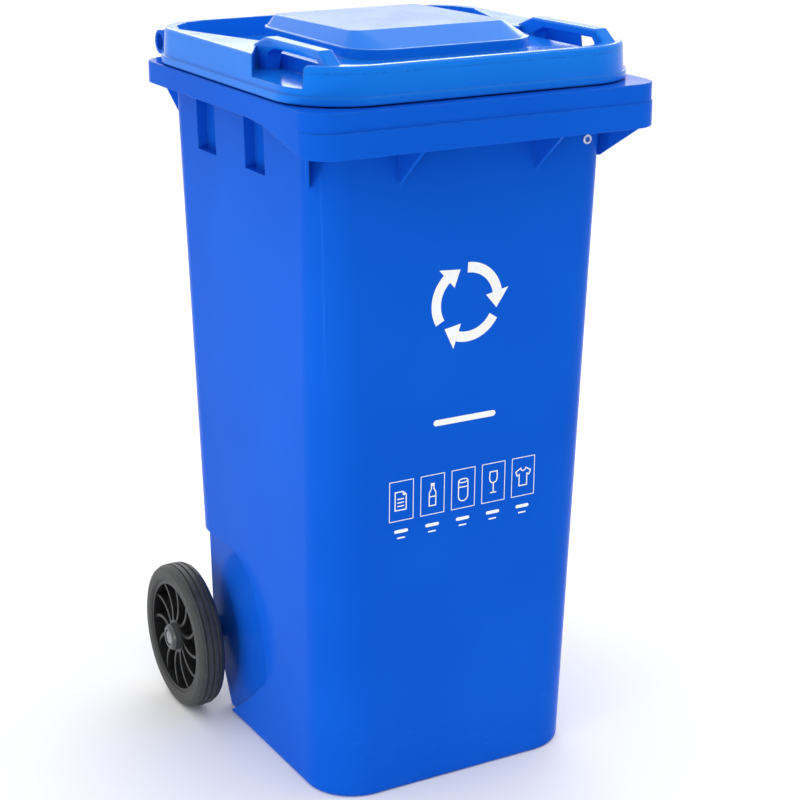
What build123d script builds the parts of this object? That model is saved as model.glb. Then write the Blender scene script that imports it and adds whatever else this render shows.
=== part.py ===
"""Two-wheeled wheelie bin, 120 litre class: tapered tub, hinged lid and two rubber-tyred wheels.

Millimetres. +Z is up, the front faces -Y, the bin is symmetric about X = 0, and the origin is the
centre of the footprint on the ground.
"""
from build123d import *
import os

os.makedirs("parts", exist_ok=True)

# ---------------------------------------------------------------- driving dimensions
SIDES = (-1, 1)
SIDE_NAMES = {-1: "left", 1: "right"}
REACH = 300  # longer than any half width, for cuts that go right across
WALL = 4.0

# tub: half width, front, rear and corner radius of its outside at the ground and at the shoulder
TUB_BASE = (180, -195, 198, 64)
TUB_TOP = (197, -212, 203, 40)
SHOULDER = 850
FLOOR = 6

# rim round the mouth
RIM_TOP = 869
RIM_HALF = 229
RIM_FRONT = -266
RIM_REAR = 211
RIM_CORNER = 36
LEDGE = 4.5
SKIRT_WALL = 3.5
SIDE_SKIRT_BOTTOM = 843
FRONT_SKIRT_BOTTOM = 818
BAND_TOP = 847
BAND_PROUD = 2

# lid
LID_HALF = 226
LID_FRONT = -250
LID_REAR = 204
LID_FRONT_CORNER = 84
LID_REAR_CORNER = 72
LID_BOTTOM = 871
FLANGE_TOP = 880
FLANGE_STEP = 3
LID_DRAFT = 2
CREST = 913
TRAY_FLOOR = 905
POCKET_FLOOR = 888
TIER_TOP = 917
PANEL_FRONT_TOP = 933
PANEL_REAR_TOP = 929
LID_WALL = 3.6

# rear hinge and grips, all on one axis
HINGE_Y = 252
HINGE_Z = 881
GRIP_R = 15
GRIP_BORE_R = 11
GRIP_END = 184
PIN_R = 6
RUNNING = 0.06
EYE_R = 16
CENTRE_PLATE = (50, 56)
EYE_SPAN = (58, 90)
INNER_PLATE = (92, 98)
OUTER_PLATE = (166, 172)

# axle and wheels
AXLE_Y = 160
AXLE_Z = 98
AXLE_R = 10
AXLE_END = 241
WHEEL_R = 98
TYRE_INNER_R = 77
WHEEL_INNER = 199
WHEEL_OUTER = 236
CHEEK = 165  # outer face of the tub's lower rear cheeks
RIB = 5


def between(low, high, share):
    """Straight-line mix of two values."""
    return low + (high - low) * share


def tub_section(height, inset=0.0):
    """Rounded outline of the tub at a height, drawn in by the inset."""
    half, front, rear, corner = (
        between(low, high, height / SHOULDER) for low, high in zip(TUB_BASE, TUB_TOP)
    )
    with BuildSketch(Plane.XY.offset(height)) as section:
        with Locations((0, (front + rear) / 2)):
            RectangleRounded(2 * (half - inset), rear - front - 2 * inset, corner - inset)
    return section.sketch


def rim_outline(height, inset=0.0, forward=0.0):
    """Rounded outline of the rim at a height, drawn in by the inset or moved forward."""
    with BuildSketch(Plane.XY.offset(height)) as outline:
        with Locations((0, (RIM_FRONT + RIM_REAR) / 2 - forward)):
            RectangleRounded(2 * (RIM_HALF - inset), RIM_REAR - RIM_FRONT - 2 * inset, RIM_CORNER - inset)
    return outline.sketch


def side_prism(points, low, high):
    """Prism of a side view outline, given as (y, z) points, between two x values."""
    with BuildPart() as prism:
        with BuildSketch(Plane.YZ.offset(low)):
            with BuildLine():
                Polyline(*points, close=True)
            make_face()
        extrude(amount=high - low)
    return prism.part


def cross_cylinder(radius, low, high, y, z):
    """Cylinder along X between two x values."""
    with BuildPart() as cylinder:
        with BuildSketch(Plane.YZ.offset(low)):
            with Locations((y, z)):
                Circle(radius)
        extrude(amount=high - low)
    return cylinder.part


def span(side, inner, outer):
    """Low and high x of a stretch that is inner to outer from the middle, on one side."""
    return sorted((side * inner, side * outer))


# ---------------------------------------------------------------- hollows in the tub's sides
WELL_OUTLINE = [
    (58, 247),
    (14, 224),
    (-4, 188),
    (-24, 115),
    (-17, 93),
    (35, 46),
    (104, -2),
    (240, -2),
    (240, 247),
]
WELL_START = (179, -64)  # x and y where the slanting floor of the recess starts
SLOT_CENTRES = (-50, 86)
SLOT_WIDTH = 54
SLOT_BOTTOM = 768
SLOT_FLOOR = 182


def wheel_well(side, grow=0.0):
    """Recess beside a wheel, deepest at the tub's rear corner."""
    start_x, start_y = WELL_START
    with BuildPart() as well:
        with BuildSketch(Plane.XY.offset(-10)):
            with BuildLine():
                Polyline(
                    (side * (start_x - grow), start_y),
                    (side * (CHEEK - grow), RIM_REAR - 10),
                    (side * (CHEEK - grow), RIM_REAR + 40),
                    (side * RIM_HALF, RIM_REAR + 40),
                    (side * RIM_HALF, start_y),
                    close=True,
                )
            make_face()
        extrude(amount=SHOULDER / 2)
        with BuildSketch(Plane.YZ):
            with BuildLine():
                Polyline(*WELL_OUTLINE, close=True)
            make_face()
            if grow:
                offset(amount=grow, kind=Kind.INTERSECTION)
        extrude(amount=REACH, both=True, mode=Mode.INTERSECT)
    return well.part


def side_slot(side, centre, grow=0.0):
    """Upright recess in a side wall, open at the top under the rim."""
    low, high = span(side, SLOT_FLOOR - grow, RIM_HALF - SKIRT_WALL)
    with BuildPart() as slot:
        with BuildSketch(Plane.XY.offset(SLOT_BOTTOM - grow)):
            with Locations(((low + high) / 2, centre)):
                Rectangle(high - low, SLOT_WIDTH + 2 * grow)
        extrude(amount=RIM_TOP - LEDGE - SLOT_BOTTOM + 2 * grow)
    return slot.part


# ---------------------------------------------------------------- tub cavity
HUMP = [(84, 0), (130, 124), (230, 152), (230, 0)]

with BuildPart() as cavity:
    loft(sections=[tub_section(FLOOR, WALL), tub_section(RIM_TOP + 2, WALL)])
    add(side_prism(HUMP, -REACH, REACH), mode=Mode.SUBTRACT)
    for side in SIDES:
        add(wheel_well(side, grow=WALL), mode=Mode.SUBTRACT)
        for centre in SLOT_CENTRES:
            add(side_slot(side, centre, grow=WALL - 0.5), mode=Mode.SUBTRACT)

# ---------------------------------------------------------------- rim skirt
SKIRT_CUT = [
    (RIM_FRONT - 5, FRONT_SKIRT_BOTTOM - 0.5),
    (-236, FRONT_SKIRT_BOTTOM + 0.5),
    (-146, 840),
    (-100, SIDE_SKIRT_BOTTOM),
    (RIM_REAR + 20, SIDE_SKIRT_BOTTOM),
    (RIM_REAR + 20, FRONT_SKIRT_BOTTOM - 20),
    (RIM_FRONT - 5, FRONT_SKIRT_BOTTOM - 20),
]

with BuildPart() as skirt:
    extrude(rim_outline(FRONT_SKIRT_BOTTOM), amount=RIM_TOP - 1 - FRONT_SKIRT_BOTTOM)
    extrude(rim_outline(FRONT_SKIRT_BOTTOM, forward=BAND_PROUD), amount=BAND_TOP - FRONT_SKIRT_BOTTOM)
    fillet(skirt.edges().group_by(Axis.Z)[0], 1.2)
    extrude(
        rim_outline(FRONT_SKIRT_BOTTOM - 1, inset=SKIRT_WALL),
        amount=RIM_TOP + 5 - FRONT_SKIRT_BOTTOM,
        mode=Mode.SUBTRACT,
    )
    add(side_prism(SKIRT_CUT, -REACH, REACH), mode=Mode.SUBTRACT)

# ---------------------------------------------------------------- body: tub, rim, ribs, brackets and grips
FRONT_RIB_X = 91
RIB_FOOT = 772
# gussets at the corners: start (x, y), direction, then (distance, height) at the foot and the head
# of the free edge
CORNER_GUSSETS = (
    ((190, -176), (0.459, -0.888), (13, 774), (74, FRONT_SKIRT_BOTTOM)),
    ((181, 187), (0.707, 0.707), (6, 800), (28.5, SIDE_SKIRT_BOTTOM)),
)
REAR_CUT = [(119, -1), (182, 107), (202, 215), (240, 215), (240, -1)]
CHANNEL = [(91, -1), (135, 119), (240, 148), (240, -1)]
CHANNEL_BAYS = ((RIB / 2, 75 - RIB / 2), (75 + RIB / 2, CHEEK - 7))
BRACKET_FOOT = 818
BRACKET_HEAD = 862
CHIP_X = 160
CHIP_Z = 800
CHIP_R = 5
CHIP_SEAT = 208.2  # how far in front of the middle the bottom of the plug's hole is

with BuildPart() as body:
    loft(sections=[tub_section(0), tub_section(RIM_TOP - 1)])
    fillet(body.edges().group_by(Axis.Z)[0], 5)
    extrude(rim_outline(RIM_TOP - LEDGE), amount=LEDGE)
    fillet(body.faces().sort_by(Axis.Z)[-1].edges(), 2.5)
    add(skirt.part)
    # gussets between the tub and the skirt
    for side in SIDES:
        with BuildSketch(Plane.YZ.offset(side * FRONT_RIB_X)):
            with BuildLine():
                Polyline(
                    (TUB_TOP[1] + 6, RIB_FOOT),
                    (TUB_TOP[1] + 1, RIB_FOOT),
                    (RIM_FRONT + 2, FRONT_SKIRT_BOTTOM),
                    (RIM_FRONT + 2, RIM_TOP - 1),
                    (TUB_TOP[1] + 6, RIM_TOP - 1),
                    close=True,
                )
            make_face()
        extrude(amount=2, both=True)
        for (start_x, start_y), (run_x, run_y), inner, outer in CORNER_GUSSETS:
            upright = Plane(
                origin=(side * start_x, start_y, 0),
                x_dir=(side * run_x, run_y, 0),
                z_dir=(run_y, -side * run_x, 0),
            )
            with BuildSketch(upright):
                with BuildLine():
                    Polyline(
                        (0, inner[1]),
                        inner,
                        outer,
                        (outer[0], RIM_TOP - 1),
                        (0, RIM_TOP - 1),
                        close=True,
                    )
                make_face()
            extrude(amount=2, both=True)
        # bracket plates that carry the grip and the hinge pin
        for plate in (CENTRE_PLATE, INNER_PLATE, OUTER_PLATE):
            low, high = span(side, *plate)
            with BuildSketch(Plane.YZ.offset(low)):
                with Locations((HINGE_Y, HINGE_Z)):
                    Circle(GRIP_R + 1)
                with Locations((200, (BRACKET_FOOT + BRACKET_HEAD) / 2)):
                    Rectangle(8, BRACKET_HEAD - BRACKET_FOOT)
                make_hull()
            extrude(amount=high - low)
        add(cross_cylinder(GRIP_R, *span(side, INNER_PLATE[0], GRIP_END), HINGE_Y, HINGE_Z))
    add(cavity.part, mode=Mode.SUBTRACT)
    # lower rear corner cut back over the wheels, and the ribbed channel that holds the axle
    add(side_prism(REAR_CUT, -REACH, REACH), mode=Mode.SUBTRACT)
    for side in SIDES:
        add(wheel_well(side), mode=Mode.SUBTRACT)
        for centre in SLOT_CENTRES:
            add(side_slot(side, centre), mode=Mode.SUBTRACT)
        for bay in CHANNEL_BAYS:
            add(side_prism(CHANNEL, *span(side, *bay)), mode=Mode.SUBTRACT)
        add(
            cross_cylinder(GRIP_BORE_R, *span(side, 118, GRIP_END + 1), HINGE_Y, HINGE_Z),
            mode=Mode.SUBTRACT,
        )
        add(
            cross_cylinder(PIN_R, *span(side, CENTRE_PLATE[0] - 1, 114), HINGE_Y, HINGE_Z),
            mode=Mode.SUBTRACT,
        )
    add(cross_cylinder(AXLE_R + 0.1, -REACH, REACH, AXLE_Y, AXLE_Z), mode=Mode.SUBTRACT)
    # blind hole for the identification plug, under the right end of the front skirt
    with BuildSketch(Plane.XZ.offset(CHIP_SEAT)):
        with Locations((CHIP_X, CHIP_Z)):
            Circle(CHIP_R)
    extrude(amount=WALL, mode=Mode.SUBTRACT)
body.part.label = "body"
export_step(body.part, "parts/body.step")

# ---------------------------------------------------------------- lid
TIER = (122, -173, 105, 46)  # half width, front, rear, corner radius
PANEL = (102, -122, 92, 12)
# left halves of the hollows in the top, going round from the front: a shallow tray with the panel in
# it, a deeper one behind, and the side pocket that the handle bridges
TRAY = [(0, -234), (-142, -234), (-171, -220), (-171, -62), (-150, -20), (0, -20)]
REAR_TRAY = [
    (0, -30),
    (-152, -30),
    (-168, -7),
    (-209, 128),
    (-198, 161),
    (-176, 182),
    (-148, 190),
    (0, 190),
]
POCKET = [
    (-165, -210),
    (-196, -210),
    (-250, -200),
    (-250, -113),
    (-224, -109),
    (-190, -48),
    (-165, -48),
]
ARM_KNEE_Y = 214
ARM_FOOT = LID_BOTTOM + 1.5
ARM_HEAD = 902
BAR_INNER = 171
BAR_OUTER = 189
BAR_OUTLINE = [
    (-36, CREST - 6),
    (-42, 916),
    (-70, 926),
    (-204, 927),
    (-226, CREST - 1),
    (-227, POCKET_FLOOR - 1),
    (-208, POCKET_FLOOR - 1),
    (-205, 908),
    (-197, 916),
    (-92, 915),
    (-76, 908),
    (-70, POCKET_FLOOR - 1),
    (-36, POCKET_FLOOR - 1),
]


def lid_section(height, inset=0.0):
    """Rounded outline of the lid at a height, drawn in by the inset."""
    front_x = LID_HALF - LID_FRONT_CORNER
    rear_x = LID_HALF - LID_REAR_CORNER
    front_y = LID_FRONT + LID_FRONT_CORNER
    rear_y = LID_REAR - LID_REAR_CORNER
    with BuildSketch(Plane.XY.offset(height)) as section:
        with Locations((-front_x, front_y), (front_x, front_y)):
            Circle(LID_FRONT_CORNER - inset)
        with Locations((-rear_x, rear_y), (rear_x, rear_y)):
            Circle(LID_REAR_CORNER - inset)
        make_hull()
    return section.sketch


def block_section(block, height, inset=0.0):
    """Rounded rectangle given as half width, front, rear and corner radius, drawn in by the inset."""
    half, front, rear, corner = block
    with BuildSketch(Plane.XY.offset(height)) as section:
        with Locations((0, (front + rear) / 2)):
            RectangleRounded(2 * (half - inset), rear - front - 2 * inset, max(corner - inset, 4))
    return section.sketch


def sunk(half_outline, floor, grow=0.0):
    """Prism of a hollow that is open upwards, from its left half's outline."""
    with BuildPart() as hollow:
        with BuildSketch(Plane.XY.offset(floor)) as outline:
            with BuildLine():
                Polyline(*half_outline, close=True)
            make_face()
            fillet([corner for corner in outline.vertices() if corner.X < -1], 7)
            if half_outline[0][0] == 0:
                mirror(about=Plane.YZ)
            if grow:
                offset(amount=grow)
        extrude(amount=2 * (PANEL_FRONT_TOP - floor))
    return hollow.part


def lid_form(inset=0.0):
    """Outer form of the lid without its handles, or the hollow under it when drawn in by a wall."""
    bottom = LID_BOTTOM - (1 if inset else 0)
    with BuildPart() as form:
        extrude(lid_section(bottom, inset), amount=FLANGE_TOP - inset - bottom)
        waist = FLANGE_TOP - inset - 1
        loft(
            sections=[
                lid_section(waist, FLANGE_STEP + inset),
                lid_section(CREST - inset, FLANGE_STEP + LID_DRAFT + inset),
            ]
        )
        fillet(form.faces().sort_by(Axis.Z)[-1].edges(), 5 if inset == 0 else 2.5)
        add(sunk(TRAY, TRAY_FLOOR - inset, inset), mode=Mode.SUBTRACT)
        add(sunk(REAR_TRAY, POCKET_FLOOR - inset, inset), mode=Mode.SUBTRACT)
        pocket = sunk(POCKET, POCKET_FLOOR - inset, inset)
        add(pocket, mode=Mode.SUBTRACT)
        add(mirror(pocket, about=Plane.YZ), mode=Mode.SUBTRACT)
        # raised panel: an upright tier, then sloping sides up to a top that falls a little to the rear
        base = POCKET_FLOOR - inset - 1
        extrude(block_section(TIER, base, inset), amount=TIER_TOP - inset - base)
        fall = (PANEL_FRONT_TOP - PANEL_REAR_TOP) / (PANEL[2] - PANEL[1])
        top = Plane(
            origin=(0, 0, PANEL_FRONT_TOP + fall * PANEL[1] - inset), x_dir=(1, 0, 0), z_dir=(0, fall, 1)
        )
        loft(
            sections=[
                block_section(TIER, TIER_TOP - inset - 0.5, inset + 1.5),
                top * block_section(PANEL, 0, inset),
            ]
        )
    return form.part


def handle_bar(side):
    """Bar that bridges a side pocket of the lid, with a leg at each end."""
    low, high = span(side, BAR_INNER, BAR_OUTER)
    with BuildPart() as bar:
        with BuildSketch(Plane.YZ.offset(low)) as outline:
            with BuildLine():
                Polyline(*BAR_OUTLINE, close=True)
            make_face()
            fillet(outline.vertices().filter_by_position(Axis.Z, 904, 930), 6)
        extrude(amount=high - low)
        fillet(bar.faces().sort_by(Axis.X)[0].edges().filter_by_position(Axis.Z, 912, 930), 3)
        fillet(bar.faces().sort_by(Axis.X)[-1].edges().filter_by_position(Axis.Z, 912, 930), 3)
    return bar.part


lid_hollow = lid_form(inset=LID_WALL)
lid_outer = lid_form()

with BuildPart() as lid:
    add(lid_outer)
    add(lid_hollow, mode=Mode.SUBTRACT)
    for side in SIDES:
        add(handle_bar(side))
        # hinge arm with its eye
        low, high = span(side, *EYE_SPAN)
        with BuildSketch(Plane.YZ.offset(low)):
            with Locations((HINGE_Y, HINGE_Z)):
                Circle(EYE_R)
            with Locations((ARM_KNEE_Y, (ARM_FOOT + ARM_HEAD) / 2)):
                Rectangle(4, ARM_HEAD - ARM_FOOT)
            make_hull()
            with Locations(((ARM_KNEE_Y + LID_REAR - 8) / 2, (ARM_FOOT + ARM_HEAD) / 2)):
                Rectangle(ARM_KNEE_Y + 8 - LID_REAR, ARM_HEAD - ARM_FOOT)
        extrude(amount=high - low)
        add(
            cross_cylinder(PIN_R + RUNNING, *span(side, EYE_SPAN[0] - 1, EYE_SPAN[1] + 1), HINGE_Y, HINGE_Z),
            mode=Mode.SUBTRACT,
        )
lid.part.label = "lid"
export_step(lid.part, "parts/lid.step")

# ---------------------------------------------------------------- hinge pins
PIN_HEAD_R = 10
PIN_HEAD = 5
PIN_END = 112

for side in SIDES:
    with BuildPart() as pin:
        add(cross_cylinder(PIN_R, *span(side, CENTRE_PLATE[0], PIN_END), HINGE_Y, HINGE_Z))
        add(
            cross_cylinder(
                PIN_HEAD_R, *span(side, CENTRE_PLATE[0] - PIN_HEAD, CENTRE_PLATE[0]), HINGE_Y, HINGE_Z
            )
        )
        chamfer(pin.faces().sort_by(Axis.X)[0].edges(), 1)
        chamfer(pin.faces().sort_by(Axis.X)[-1].edges(), 1)
    pin.part.label = f"hinge_pin_{SIDE_NAMES[side]}"
    export_step(pin.part, f"parts/{pin.part.label}.step")

# ---------------------------------------------------------------- identification plug
with BuildPart() as chip_plug:
    with BuildSketch(Plane.XZ.offset(CHIP_SEAT)):
        with Locations((CHIP_X, CHIP_Z)):
            Circle(CHIP_R)
    extrude(amount=3.2)
    with BuildSketch(Plane.XZ.offset(CHIP_SEAT + 3.2)):
        with Locations((CHIP_X, CHIP_Z)):
            Circle(CHIP_R + 0.6)
            Circle(CHIP_R - 1.6, mode=Mode.SUBTRACT)
    extrude(amount=1.6)
chip_plug.part.label = "chip_plug"
export_step(chip_plug.part, "parts/chip_plug.step")

# ---------------------------------------------------------------- axle
with BuildPart() as axle:
    add(cross_cylinder(AXLE_R, -AXLE_END, AXLE_END, AXLE_Y, AXLE_Z))
    chamfer(axle.edges().group_by(Axis.X)[0], 1)
    chamfer(axle.edges().group_by(Axis.X)[-1], 1)
axle.part.label = "axle"
export_step(axle.part, "parts/axle.step")

# ---------------------------------------------------------------- wheels
BUSH_R = 13
HUB_BOSS_R = 22.5
CAP_SEAT = (225, 231)
RIM_WELL_R = 72
WEB = (212, 217)
HUB_SPAN = (200, 233)
BOSS_SPAN = (199.6, CAP_SEAT[0])
BUSH_SPAN = (199.6, 229)
SPOKES = 12
SPOKE_WIDTH = 4
SPACER_R = 15
SPACER_SPAN = (CHEEK + 4.6, 199)
WASHER_R = 14.5
WASHER_SPAN = (229.6, 231.2)
LOCK_R = 14
LOCK_SPAN = (231.4, 232.6)
CAP_R = 18
CAP_WALL = 1.8
CAP_BORE_R = 10.6
CAP_SPAN = (CAP_SEAT[0] + 0.2, 242)
GROOVES = 3
GROOVE_PITCH = 8
GROOVE_DEPTH = 2.2
GROOVE_WIDTH = 2.4

SPIN_AXIS = Axis((0, AXLE_Y, AXLE_Z), (1, 0, 0))
SPIN_PLANE = Plane(origin=(0, AXLE_Y, AXLE_Z), x_dir=(1, 0, 0), z_dir=(0, -1, 0))


def turned(points, side):
    """Ring about the axle, from an outline given as (distance from the middle, radius) points."""
    with BuildPart() as ring:
        with BuildSketch(SPIN_PLANE):
            with BuildLine():
                Polyline(*[(side * x, radius) for x, radius in points], close=True)
            make_face()
        revolve(axis=SPIN_AXIS)
    return ring.part


def turned_block(side, inner_r, outer_r, near, far):
    """Plain ring about the axle between two radii and two distances from the middle."""
    return turned([(near, inner_r), (near, outer_r), (far, outer_r), (far, inner_r)], side)


for side in SIDES:
    name = SIDE_NAMES[side]
    middle = (WHEEL_INNER + WHEEL_OUTER) / 2

    with BuildPart() as tyre:
        add(
            turned(
                [
                    (WHEEL_INNER + 3, TYRE_INNER_R),
                    (WHEEL_INNER, TYRE_INNER_R + 3),
                    (WHEEL_INNER, WHEEL_R - 9),
                    (WHEEL_INNER + 2.5, WHEEL_R - 3.5),
                    (WHEEL_INNER + 8, WHEEL_R - 0.6),
                    (middle, WHEEL_R),
                    (WHEEL_OUTER - 8, WHEEL_R - 0.6),
                    (WHEEL_OUTER - 2.5, WHEEL_R - 3.5),
                    (WHEEL_OUTER, WHEEL_R - 9),
                    (WHEEL_OUTER, TYRE_INNER_R + 3),
                    (WHEEL_OUTER - 3, TYRE_INNER_R),
                ],
                side,
            )
        )
        for number in range(GROOVES):
            centre = middle + (number - (GROOVES - 1) / 2) * GROOVE_PITCH
            add(
                turned_block(
                    side,
                    WHEEL_R - GROOVE_DEPTH,
                    WHEEL_R + 1,
                    centre - GROOVE_WIDTH / 2,
                    centre + GROOVE_WIDTH / 2,
                ),
                mode=Mode.SUBTRACT,
            )
    tyre.part.label = f"tyre_{name}"
    export_step(tyre.part, f"parts/{tyre.part.label}.step")

    with BuildPart() as hub:
        add(turned_block(side, RIM_WELL_R, TYRE_INNER_R, *HUB_SPAN))
        add(turned_block(side, BUSH_R, RIM_WELL_R, *WEB))
        add(turned_block(side, BUSH_R, HUB_BOSS_R, *BOSS_SPAN))
        add(turned_block(side, CAP_R, HUB_BOSS_R, *CAP_SEAT))
        low, high = span(side, WEB[1], HUB_SPAN[1] - 3)
        with BuildSketch(Plane(origin=(low, AXLE_Y, AXLE_Z), x_dir=(0, 1, 0), z_dir=(1, 0, 0))):
            with BuildLine(mode=Mode.PRIVATE) as sweep_line:
                ThreePointArc((HUB_BOSS_R - 2, 0), (44, 9), (RIM_WELL_R + 1, 0))
            with PolarLocations(0, SPOKES):
                SlotArc(arc=sweep_line.wire(), height=SPOKE_WIDTH)
        extrude(amount=high - low)
    hub.part.label = f"wheel_hub_{name}"
    export_step(hub.part, f"parts/{hub.part.label}.step")

    with BuildPart() as bush:
        add(turned_block(side, AXLE_R + RUNNING, BUSH_R, *BUSH_SPAN))
    bush.part.label = f"wheel_bush_{name}"
    export_step(bush.part, f"parts/{bush.part.label}.step")

    with BuildPart() as spacer:
        add(turned_block(side, AXLE_R + 0.1, SPACER_R, *SPACER_SPAN))
    spacer.part.label = f"axle_spacer_{name}"
    export_step(spacer.part, f"parts/{spacer.part.label}.step")

    with BuildPart() as washer:
        add(turned_block(side, AXLE_R + 0.1, WASHER_R, *WASHER_SPAN))
    washer.part.label = f"thrust_washer_{name}"
    export_step(washer.part, f"parts/{washer.part.label}.step")

    with BuildPart() as lock:
        add(turned_block(side, AXLE_R, LOCK_R, *LOCK_SPAN))
    lock.part.label = f"lock_washer_{name}"
    export_step(lock.part, f"parts/{lock.part.label}.step")

    with BuildPart() as cap:
        near, far = CAP_SPAN
        add(
            turned(
                [
                    (near, CAP_R - CAP_WALL),
                    (near, CAP_R - 0.1),
                    (far - 4, CAP_R - 0.1),
                    (far - 1, CAP_R - 2.5),
                    (far, CAP_R - 4.5),
                    (far, CAP_BORE_R),
                    (far - CAP_WALL, CAP_BORE_R),
                    (far - CAP_WALL, CAP_R - 5.5),
                    (far - 4.5, CAP_R - CAP_WALL),
                ],
                side,
            )
        )
    cap.part.label = f"hub_cap_{name}"
    export_step(cap.part, f"parts/{cap.part.label}.step")
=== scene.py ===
"""Wheelie bin: materials, printed marks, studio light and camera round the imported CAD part.

Metres, in the CAD frame: +Z is up, the front faces -Y and the bin stands on Z = 0.
"""

import math

import bmesh
import bpy
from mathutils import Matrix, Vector
from mathutils.bvhtree import BVHTree


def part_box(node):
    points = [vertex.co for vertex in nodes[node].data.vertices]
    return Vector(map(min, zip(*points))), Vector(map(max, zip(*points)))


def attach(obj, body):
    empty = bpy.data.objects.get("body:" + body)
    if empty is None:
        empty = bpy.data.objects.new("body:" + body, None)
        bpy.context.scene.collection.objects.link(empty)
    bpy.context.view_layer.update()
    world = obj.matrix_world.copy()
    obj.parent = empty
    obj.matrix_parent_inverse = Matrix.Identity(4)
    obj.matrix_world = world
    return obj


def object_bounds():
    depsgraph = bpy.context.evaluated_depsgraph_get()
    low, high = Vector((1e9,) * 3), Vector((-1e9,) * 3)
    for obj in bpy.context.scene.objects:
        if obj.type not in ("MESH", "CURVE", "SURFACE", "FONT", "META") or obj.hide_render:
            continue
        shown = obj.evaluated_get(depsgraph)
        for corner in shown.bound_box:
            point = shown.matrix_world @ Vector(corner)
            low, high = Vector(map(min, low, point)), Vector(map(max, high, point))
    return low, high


NAMES = ("left", "right")

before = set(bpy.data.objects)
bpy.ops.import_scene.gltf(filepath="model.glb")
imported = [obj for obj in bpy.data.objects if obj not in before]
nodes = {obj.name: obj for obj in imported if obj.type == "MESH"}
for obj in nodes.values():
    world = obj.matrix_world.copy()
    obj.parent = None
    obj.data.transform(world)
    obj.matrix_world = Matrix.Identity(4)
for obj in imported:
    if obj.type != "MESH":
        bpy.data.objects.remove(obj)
cad_low, cad_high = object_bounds()

# ---------------------------------------------------------------- colours, linear
BLUE = (0.0060, 0.112, 0.66)
BLUE_DEEP = (0.0045, 0.096, 0.60)
LID_BLUE = (0.0085, 0.200, 0.80)
LID_BLUE_DEEP = (0.0065, 0.178, 0.74)
BLUE_WORN = (0.035, 0.210, 0.76)
BLUE_GLOSS = (0.12, 0.45, 1.0)
RUBBER = (0.028, 0.029, 0.028)
RUBBER_DUSTY = (0.060, 0.061, 0.058)
BLACK = (0.0065, 0.0068, 0.0072)
BLACK_GREY = (0.016, 0.016, 0.017)
CAP_GREY = (0.085, 0.090, 0.096)
CAP_GREY_DEEP = (0.050, 0.054, 0.058)
NYLON = (0.48, 0.60, 0.78)
NYLON_DEEP = (0.38, 0.50, 0.70)
ZINC = (0.40, 0.41, 0.43)
ZINC_DULL = (0.24, 0.25, 0.27)
PRINT = (0.93, 0.94, 0.95)
PRINT_THIN = (0.80, 0.85, 0.92)
FLOOR = (0.90, 0.90, 0.90)

# ---------------------------------------------------------------- places and sizes of surface detail
wheel_low, wheel_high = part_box("tyre_left")
wheel_axis = (wheel_low + wheel_high) / 2
plug_low, plug_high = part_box("chip_plug")
lid_low, lid_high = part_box("lid")
STIPPLE_Z = lid_high.z - 0.0280  # floor of the tray along the lid's front edge
STIPPLE_Y = lid_low.y + 0.070
PLUG_MIDDLE_R = 0.0034
SIDEWALL_RING_PITCH = 0.0045
BODY_EDGE_R = 0.0016
LID_EDGE_R = 0.0030
BODY_IOR = 1.08
LID_IOR = 1.28


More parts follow.
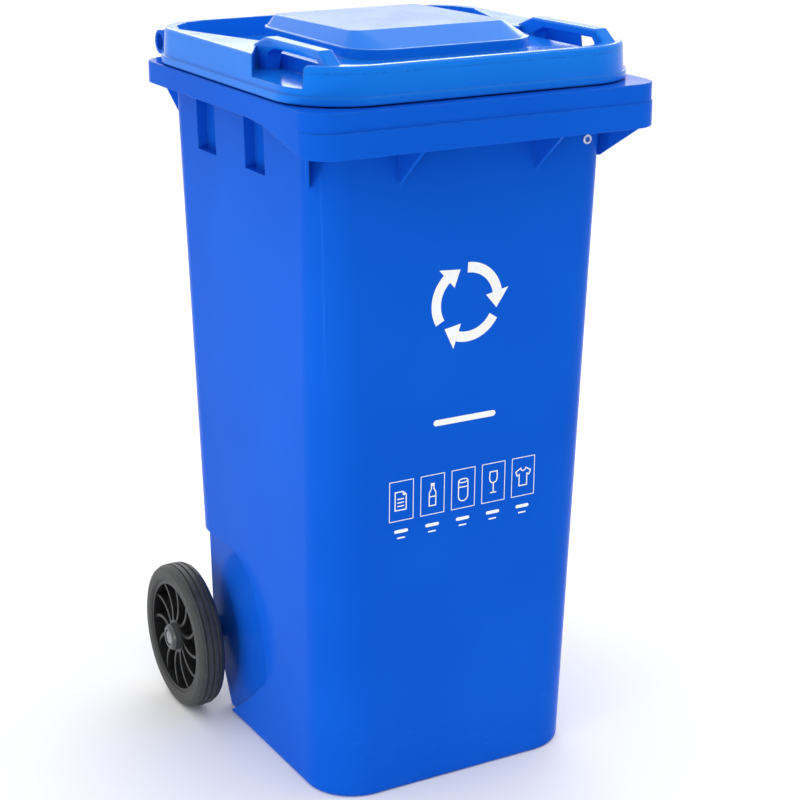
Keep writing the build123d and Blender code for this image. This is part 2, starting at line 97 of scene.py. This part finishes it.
# ---------------------------------------------------------------- material helpers
class Shader:
    """A Principled material with short calls for the nodes that feed it."""

    def __init__(self, name):
        self.material = bpy.data.materials.new(name)
        self.material.use_nodes = True
        self.tree = self.material.node_tree
        self.principled = self.tree.nodes["Principled BSDF"]
        self.place = self.node("ShaderNodeTexCoord").outputs["Object"]

    def node(self, kind, **settings):
        made = self.tree.nodes.new(kind)
        for key, value in settings.items():
            setattr(made, key, value)
        return made

    def feed(self, socket, value):
        """Link a node's output to a socket, or set the socket to a plain value."""
        if isinstance(value, bpy.types.NodeSocket):
            self.tree.links.new(value, socket)
        else:
            socket.default_value = value

    def set(self, **values):
        """Set Principled inputs; base_color means Base Color."""
        for key, value in values.items():
            socket = self.principled.inputs[key.replace("_", " ").title().replace("Ior", "IOR")]
            if isinstance(value, tuple) and len(value) == 3:
                value = (*value, 1.0)
            self.feed(socket, value)
        return self

    def stretched(self, scale):
        """Object coordinates, scaled by a different amount along each axis."""
        mapping = self.node("ShaderNodeMapping")
        self.feed(mapping.inputs["Vector"], self.place)
        mapping.inputs["Scale"].default_value = scale
        return mapping.outputs["Vector"]

    def noise(self, scale, detail=3.0, roughness=0.55, place=None):
        made = self.node("ShaderNodeTexNoise")
        self.feed(made.inputs["Vector"], place or self.place)
        made.inputs["Scale"].default_value = scale
        made.inputs["Detail"].default_value = detail
        made.inputs["Roughness"].default_value = roughness
        return made.outputs["Fac"]

    def remap(self, value, low, high, to_low=0.0, to_high=1.0):
        """Clamped linear map of a value from one range to another."""
        made = self.node("ShaderNodeMapRange")
        self.feed(made.inputs["Value"], value)
        made.inputs["From Min"].default_value = low
        made.inputs["From Max"].default_value = high
        made.inputs["To Min"].default_value = to_low
        made.inputs["To Max"].default_value = to_high
        return made.outputs["Result"]

    def math(self, operation, a, b=0.0):
        made = self.node("ShaderNodeMath", operation=operation)
        self.feed(made.inputs[0], a)
        self.feed(made.inputs[1], b)
        return made.outputs[0]

    def mix(self, share, a, b):
        """Mix of two colours."""
        made = self.node("ShaderNodeMix", data_type="RGBA")
        self.feed(made.inputs["Factor"], share)
        for socket, colour in ((made.inputs[6], a), (made.inputs[7], b)):
            self.feed(socket, (*colour, 1.0) if isinstance(colour, tuple) else colour)
        return made.outputs[2]

    def axis(self, letter):
        """One object coordinate, in metres."""
        split = self.node("ShaderNodeSeparateXYZ")
        self.feed(split.inputs[0], self.place)
        return split.outputs[letter]

    def distance(self, letter, middle, high):
        """Distance in metres from a line through two middles, in the plane of an axis and Z."""
        across = self.math("SUBTRACT", self.axis(letter), middle)
        upright = self.math("SUBTRACT", self.axis("Z"), high)
        squares = [self.math("MULTIPLY", part, part) for part in (across, upright)]
        return self.math("SQRT", self.math("ADD", *squares))

    def rounded(self, radius, samples=6):
        """Normal that rounds the edges by a radius in metres."""
        made = self.node("ShaderNodeBevel", samples=samples)
        made.inputs["Radius"].default_value = radius
        return made.outputs["Normal"]

    def edges(self, rounded):
        """1 on the rounded edges and 0 on the flats."""
        geometry = self.node("ShaderNodeNewGeometry")
        dot = self.node("ShaderNodeVectorMath", operation="DOT_PRODUCT")
        self.feed(dot.inputs[0], rounded)
        self.feed(dot.inputs[1], geometry.outputs["Normal"])
        return self.remap(dot.outputs["Value"], 0.99, 0.86)

    def bump(self, height, distance, strength=1.0, normal=None):
        """Bump by a height of 0 to 1, over a distance in metres, on top of an earlier normal."""
        made = self.node("ShaderNodeBump")
        self.feed(made.inputs["Height"], height)
        made.inputs["Distance"].default_value = distance
        made.inputs["Strength"].default_value = strength
        if normal is not None:
            self.feed(made.inputs["Normal"], normal)
        return made.outputs["Normal"]


def glossy_moulding(name, dark, light, radius, ior, stippled=False):
    """Blue polyethylene: even gloss, slow colour drift, faint wall waviness, paler edges and scuffs."""
    shader = Shader(name)
    rounded = shader.rounded(radius)
    drift = shader.remap(shader.noise(3.2, detail=2), 0.35, 0.65)
    colour = shader.mix(drift, dark, light)
    near_ground = shader.remap(shader.axis("Z"), 0.16, 0.0)
    scratches = shader.noise(38, detail=5, roughness=0.7, place=shader.stretched((1.0, 1.0, 6.0)))
    scuffed = shader.math("MULTIPLY", shader.remap(scratches, 0.58, 0.70), near_ground)
    uneven = shader.remap(shader.noise(60), 0.35, 0.70, 0.15, 0.55)
    edges = shader.math("MULTIPLY", shader.edges(rounded), uneven)
    worn = shader.math("MAXIMUM", shader.math("MULTIPLY", scuffed, 0.35), edges)
    colour = shader.mix(worn, colour, BLUE_WORN)
    patchy = shader.remap(shader.noise(14, detail=4), 0.30, 0.70, 0.10, 0.17)
    rough = shader.math("ADD", patchy, shader.math("MULTIPLY", worn, 0.25))
    waves = shader.bump(shader.noise(7.5, detail=1), 0.0009, normal=rounded)
    skin = shader.bump(shader.noise(420, detail=2), 0.00003, normal=waves)
    if stippled:
        # the floor of the tray along the front edge is coarsely stippled
        off_floor = shader.math("ABSOLUTE", shader.math("SUBTRACT", shader.axis("Z"), STIPPLE_Z))
        strip = shader.math(
            "MULTIPLY",
            shader.remap(off_floor, 0.0010, 0.0005),
            shader.remap(shader.axis("Y"), STIPPLE_Y + 0.012, STIPPLE_Y),
        )
        specks = shader.remap(shader.noise(330, detail=2), 0.50, 0.62)
        skin = shader.bump(shader.math("MULTIPLY", strip, specks), 0.0008, normal=skin)
    shader.set(
        base_color=colour,
        roughness=rough,
        normal=skin,
        specular_tint=BLUE_GLOSS,
        ior=ior,
    )
    return shader.material


def satin_moulding(name, dark, light, roughness, grain=700):
    """Fine-grained satin plastic with paler rubbed edges."""
    shader = Shader(name)
    rounded = shader.rounded(0.0008)
    drift = shader.remap(shader.noise(40, detail=3), 0.35, 0.65)
    rubbed = shader.math("MULTIPLY", shader.edges(rounded), 0.5)
    colour = shader.mix(shader.math("MAXIMUM", shader.math("MULTIPLY", drift, 0.5), rubbed), dark, light)
    rough = shader.remap(shader.noise(90, detail=4), 0.3, 0.7, roughness - 0.05, roughness + 0.07)
    normal = shader.bump(shader.noise(grain, detail=3), 0.00006, normal=rounded)
    shader.set(base_color=colour, roughness=rough, normal=normal)
    return shader.material


def tyre_rubber(name, axis_y, axis_z):
    """Dull rubber with moulded rings on the sidewall and dust in the grain."""
    shader = Shader(name)
    rounded = shader.rounded(0.0012)
    radius = shader.distance("Y", axis_y, axis_z)
    rings = shader.math("SINE", shader.math("MULTIPLY", radius, 2 * math.pi / SIDEWALL_RING_PITCH))
    rings = shader.remap(rings, 0.55, 1.0)
    dust = shader.remap(shader.noise(55, detail=6, roughness=0.65), 0.42, 0.72)
    colour = shader.mix(shader.math("MULTIPLY", dust, 0.8), RUBBER, RUBBER_DUSTY)
    rough = shader.remap(dust, 0.0, 1.0, 0.50, 0.72)
    ringed = shader.bump(rings, 0.00035, normal=rounded)
    grainy = shader.bump(shader.noise(900, detail=3), 0.00008, normal=ringed)
    shader.set(base_color=colour, roughness=rough, normal=grainy)
    return shader.material


def plated_steel(name):
    """Zinc plate, turned along the axle, with duller patches."""
    shader = Shader(name)
    rounded = shader.rounded(0.0004)
    dull = shader.remap(shader.noise(70, detail=5), 0.40, 0.68)
    turned = shader.noise(1500, detail=2, place=shader.stretched((3.0, 0.2, 0.2)))
    colour = shader.mix(dull, ZINC, ZINC_DULL)
    rough = shader.remap(dull, 0.0, 1.0, 0.26, 0.44)
    shader.set(
        base_color=colour,
        metallic=1.0,
        roughness=rough,
        normal=shader.bump(turned, 0.00002, normal=rounded),
    )
    return shader.material


def ringed_plug(name, centre):
    """Pale nylon ring round a blue middle."""
    shader = Shader(name)
    rounded = shader.rounded(0.0003)
    radius = shader.distance("X", centre.x, centre.z)
    pale_share = shader.remap(radius, PLUG_MIDDLE_R - 0.0002, PLUG_MIDDLE_R + 0.0002)
    drift = shader.remap(shader.noise(300), 0.35, 0.65)
    shader.set(
        base_color=shader.mix(pale_share, BLUE, shader.mix(drift, NYLON, PRINT)),
        roughness=shader.remap(shader.noise(250), 0.3, 0.7, 0.30, 0.42),
        normal=shader.bump(shader.noise(900), 0.00003, normal=rounded),
    )
    return shader.material


def print_film(name):
    """White foil print, slightly thin in places, on the blue wall."""
    shader = Shader(name)
    thin = shader.remap(shader.noise(130, detail=5, roughness=0.7), 0.50, 0.75, 0.0, 0.7)
    shader.set(
        base_color=shader.mix(thin, PRINT, PRINT_THIN),
        roughness=shader.remap(shader.noise(60), 0.3, 0.7, 0.32, 0.42),
        normal=shader.bump(shader.noise(600, detail=2), 0.00002),
    )
    return shader.material


def dress(node, material):
    """Give a CAD node one material."""
    slots = nodes[node].material_slots
    if not slots:
        nodes[node].data.materials.append(material)
    for slot in nodes[node].material_slots:
        slot.material = material


blue = glossy_moulding("blue_plastic", BLUE_DEEP, BLUE, BODY_EDGE_R, BODY_IOR)
blue_lid = glossy_moulding(
    "blue_plastic_lid", LID_BLUE_DEEP, LID_BLUE, LID_EDGE_R, LID_IOR, stippled=True
)
black = satin_moulding("black_plastic", BLACK, BLACK_GREY, 0.42)
grey = satin_moulding("grey_plastic", CAP_GREY_DEEP, CAP_GREY, 0.34)
pale = satin_moulding("pale_plastic", NYLON_DEEP, NYLON, 0.40)
rubber = tyre_rubber("tyre_rubber", wheel_axis.y, wheel_axis.z)
steel = plated_steel("zinc_steel")
film = print_film("white_print")

for node in ("body", "hinge_pin_left", "hinge_pin_right"):
    dress(node, blue)
dress("lid", blue_lid)
for name in NAMES:
    dress(f"wheel_hub_{name}", black)
    dress(f"axle_spacer_{name}", black)
    dress(f"hub_cap_{name}", grey)
    dress(f"wheel_bush_{name}", pale)
    dress(f"tyre_{name}", rubber)
    dress(f"thrust_washer_{name}", steel)
    dress(f"lock_washer_{name}", steel)
dress("axle", steel)
dress("chip_plug", ringed_plug("plug_nylon", (plug_low + plug_high) / 2))

# ---------------------------------------------------------------- printed marks on the front wall
FILM_LIFT = 0.00010
FILM_THICKNESS = 0.00012
MARK_Z = 0.622
LABEL_Z = 0.478
ICON_Z = 0.388
CAPTION_Z = 0.349
ICON_PITCH = 0.0428

body_mesh = nodes["body"].data
body_tree = BVHTree.FromPolygons(
    [vertex.co for vertex in body_mesh.vertices],
    [tuple(polygon.vertices) for polygon in body_mesh.polygons],
)


def on_front_wall(x, z, lift):
    """Point on the front wall at (x, z), lifted off it."""
    point, normal, _, _ = body_tree.ray_cast(Vector((x, cad_low.y - 1, z)), Vector((0, 1, 0)))
    return point + normal * lift


def stroke(points, width, closed=False):
    """Outline of a line of even width with mitred corners, as four-sided pieces in the wall's plane."""
    count = len(points)
    pairs = [(i, (i + 1) % count) for i in range(count if closed else count - 1)]
    points = [Vector(point) for point in points]

    def side(index):
        """Offset from a point to the line's edge, along the mitre."""
        here = points[index]
        before = points[index - 1] if index or closed else None
        after = points[(index + 1) % count] if index < count - 1 or closed else None
        into = (here - before).normalized() if before is not None else (after - here).normalized()
        out = (after - here).normalized() if after is not None else into
        middle = (into + out).normalized()
        across = Vector((-middle.y, middle.x))
        return across * (width / 2 / max(0.5, across.dot(Vector((-into.y, into.x)))))

    return [
        [points[a] + side(a), points[b] + side(b), points[b] - side(b), points[a] - side(a)]
        for a, b in pairs
    ]


def arc(centre, radius, start, end, steps):
    """Points along a circle's arc, angles in degrees."""
    angles = [math.radians(start + (end - start) * i / steps) for i in range(steps + 1)]
    return [(centre[0] + radius * math.cos(a), centre[1] + radius * math.sin(a)) for a in angles]


def bar(width, height, centre=(0.0, 0.0)):
    """Plain bar with rounded ends."""
    radius = height / 2
    reach = width / 2 - radius
    right = arc((centre[0] + reach, centre[1]), radius, -90, 90, 8)
    left = arc((centre[0] - reach, centre[1]), radius, 90, 270, 8)
    return [[Vector(point) for point in right + left]]


def moved(outlines, x, z):
    return [[point + Vector((x, z)) for point in outline] for outline in outlines]


def scaled(outlines, factor):
    return [[point * factor for point in outline] for outline in outlines]


def print_on_wall(name, outlines):
    """Thin film on the front wall from outlines in its plane."""
    mesh = bmesh.new()
    for outline in outlines:
        under = [mesh.verts.new(on_front_wall(p.x, p.y, FILM_LIFT)) for p in outline]
        over = [mesh.verts.new(on_front_wall(p.x, p.y, FILM_LIFT + FILM_THICKNESS)) for p in outline]
        mesh.faces.new(over)
        mesh.faces.new(under[::-1])
        for i in range(len(outline)):
            j = (i + 1) % len(outline)
            mesh.faces.new((under[i], under[j], over[j], over[i]))
    bmesh.ops.recalc_face_normals(mesh, faces=mesh.faces)
    data = bpy.data.meshes.new(name)
    mesh.to_mesh(data)
    mesh.free()
    data.materials.append(film)
    piece = bpy.data.objects.new(name, data)
    bpy.context.scene.collection.objects.link(piece)
    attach(piece, "bin")
    return piece


def cycle_mark(radius, width):
    """Ring of three curved arrows."""
    outlines = []
    for turn in (90, 210, 330):
        outlines += stroke(arc((0, 0), radius, turn, turn - 78, 14), width)
        tip = math.radians(turn - 106)
        back = math.radians(turn - 78)
        inner = radius - 1.25 * width
        outer = radius + 1.25 * width
        outlines.append(
            [
                Vector((inner * math.cos(back), inner * math.sin(back))),
                Vector((outer * math.cos(back), outer * math.sin(back))),
                Vector((radius * math.cos(tip), radius * math.sin(tip))),
            ]
        )
    return outlines


# small line drawings, in units of the frame's half height
LINE = 0.055
BOTTLE = [
    (-0.18, -0.56),
    (0.18, -0.56),
    (0.18, 0.10),
    (0.07, 0.30),
    (0.07, 0.46),
    (-0.07, 0.46),
    (-0.07, 0.30),
    (-0.18, 0.10),
]
CAN_ANGLES = [math.radians(30 * i) for i in range(12)]
CAN_TOP = [(0.26 * math.cos(angle), 0.40 + 0.10 * math.sin(angle)) for angle in CAN_ANGLES]
BOWL = [(-0.20, 0.56), (-0.22, 0.24)] + arc((0, 0.18), 0.20, 180, 360, 8) + [(0.22, 0.24), (0.20, 0.56)]
SHIRT = [
    (-0.14, 0.44),
    (-0.42, 0.28),
    (-0.34, 0.06),
    (-0.22, 0.12),
    (-0.22, -0.46),
    (0.22, -0.46),
    (0.22, 0.12),
    (0.34, 0.06),
    (0.42, 0.28),
    (0.14, 0.44),
] + arc((0, 0.44), 0.14, 0, -180, 6)[1:-1]
PICTURES = [
    # sheets of paper
    stroke([(-0.34, -0.46), (0.26, -0.46), (0.26, 0.30), (0.10, 0.46), (-0.34, 0.46)], LINE, closed=True)
    + stroke([(0.10, 0.46), (0.10, 0.30), (0.26, 0.30)], LINE)
    + [line for height in (-0.26, -0.08, 0.10) for line in stroke([(-0.22, height), (0.14, height)], LINE)],
    # bottle
    stroke(BOTTLE, LINE, closed=True)
    + stroke([(-0.11, 0.54), (0.11, 0.54)], LINE * 1.6)
    + stroke([(-0.18, -0.10), (0.18, -0.10)], LINE),
    # can
    stroke([(-0.26, 0.38)] + arc((0, -0.38), 0.26, 180, 360, 10) + [(0.26, 0.38)], LINE)
    + stroke(CAN_TOP, LINE, closed=True)
    + stroke([(-0.26, 0.08), (0.26, 0.08)], LINE),
    # glass
    stroke(BOWL, LINE, closed=True)
    + stroke([(0, -0.02), (0, -0.50)], LINE)
    + stroke([(-0.18, -0.52), (0.18, -0.52)], LINE),
    # shirt
    stroke(SHIRT, LINE, closed=True),
]
FRAME_HALF = (0.0162, 0.0252)
FRAME_LINE = 0.0009

print_on_wall("print_mark", moved(cycle_mark(0.0420, 0.0125), 0, MARK_Z))
print_on_wall("print_label", moved(bar(0.086, 0.0075), 0, LABEL_Z))
for number, picture in enumerate(PICTURES):
    x = (number - (len(PICTURES) - 1) / 2) * ICON_PITCH
    half, high = FRAME_HALF
    border = stroke([(-half, -high), (half, -high), (half, high), (-half, high)], FRAME_LINE, closed=True)
    drawing = scaled(picture, high)
    drop = CAPTION_Z - ICON_Z
    captions = moved(bar(0.019, 0.0042), 0, drop) + moved(bar(0.011, 0.0018), 0, drop - 0.0085)
    print_on_wall(f"print_icon_{number + 1}", moved(border + drawing + captions, x, ICON_Z))

# ---------------------------------------------------------------- floor, light and camera
FLOOR_HALF = 40.0


def make_floor():
    mesh = bpy.data.meshes.new("floor")
    corners = ((-1, -1), (1, -1), (1, 1), (-1, 1))
    mesh.from_pydata([(FLOOR_HALF * x, FLOOR_HALF * y, 0) for x, y in corners], [], [(0, 1, 2, 3)])
    floor = bpy.data.objects.new("floor", mesh)
    bpy.context.scene.collection.objects.link(floor)
    shader = Shader("floor_paper")
    shader.set(base_color=FLOOR, roughness=0.85)
    mesh.materials.append(shader.material)


def soft_box(name, centre, target, width, height, power, colour=(1.0, 1.0, 1.0)):
    """Rectangular area light that faces a target and isn't seen by the camera."""
    data = bpy.data.lights.new(name, "AREA")
    data.shape = "RECTANGLE"
    data.size = width
    data.size_y = height
    data.energy = power
    data.color = colour
    light = bpy.data.objects.new(name, data)
    light.location = centre
    light.rotation_euler = (Vector(target) - Vector(centre)).to_track_quat("-Z", "Y").to_euler()
    light.visible_camera = False
    bpy.context.scene.collection.objects.link(light)


SKY_BRIGHT_SIDE = (-0.05, 0.50, 0.85)
SKY_DIM = 0.30
SKY_BRIGHT = 1.35

make_floor()
soft_box("back_sheet", (1.4, 2.5, 1.87), (0, 0, 0.93), 2.4, 1.0, 23)
soft_box("edge_strip", (1.4, -0.95, 3.4), (0, -0.25, 0.9), 0.2, 1.6, 14)
soft_box("corner_strip", (-1.28, -0.62, 0.27), (-0.15, -0.16, 0.55), 0.035, 0.34, 3.5)


def make_sky():
    """White surroundings, brighter above and behind than in front and below."""
    world = bpy.data.worlds.new("studio")
    world.use_nodes = True
    tree = world.node_tree
    place = tree.nodes.new("ShaderNodeTexCoord")
    share = tree.nodes.new("ShaderNodeVectorMath")
    share.operation = "DOT_PRODUCT"
    share.inputs[1].default_value = SKY_BRIGHT_SIDE
    strength = tree.nodes.new("ShaderNodeMapRange")
    strength.inputs["From Min"].default_value = -1.0
    strength.inputs["From Max"].default_value = 1.0
    strength.inputs["To Min"].default_value = SKY_DIM
    strength.inputs["To Max"].default_value = SKY_BRIGHT
    background = tree.nodes["Background"]
    background.inputs["Color"].default_value = (1.0, 1.0, 1.0, 1.0)
    tree.links.new(place.outputs["Generated"], share.inputs[0])
    tree.links.new(share.outputs["Value"], strength.inputs["Value"])
    tree.links.new(strength.outputs["Result"], background.inputs["Strength"])
    bpy.context.scene.world = world


make_sky()
bpy.context.scene.view_settings.view_transform = "Standard"

CAMERA_PLACE = (-1.1622, -2.1164, 1.2354)
CAMERA_YAW = 29.32
CAMERA_PITCH = 18.19
SENSOR = 36.0
FOCAL_PIXELS = 1979.4
PICTURE_PIXELS = 800

lens = bpy.data.cameras.new("camera")
lens.sensor_width = SENSOR
lens.lens = SENSOR * FOCAL_PIXELS / PICTURE_PIXELS
camera = bpy.data.objects.new("camera", lens)
camera.location = CAMERA_PLACE
camera.rotation_euler = (math.radians(90 - CAMERA_PITCH), 0, math.radians(-CAMERA_YAW))
bpy.context.scene.collection.objects.link(camera)
bpy.context.scene.camera = camera
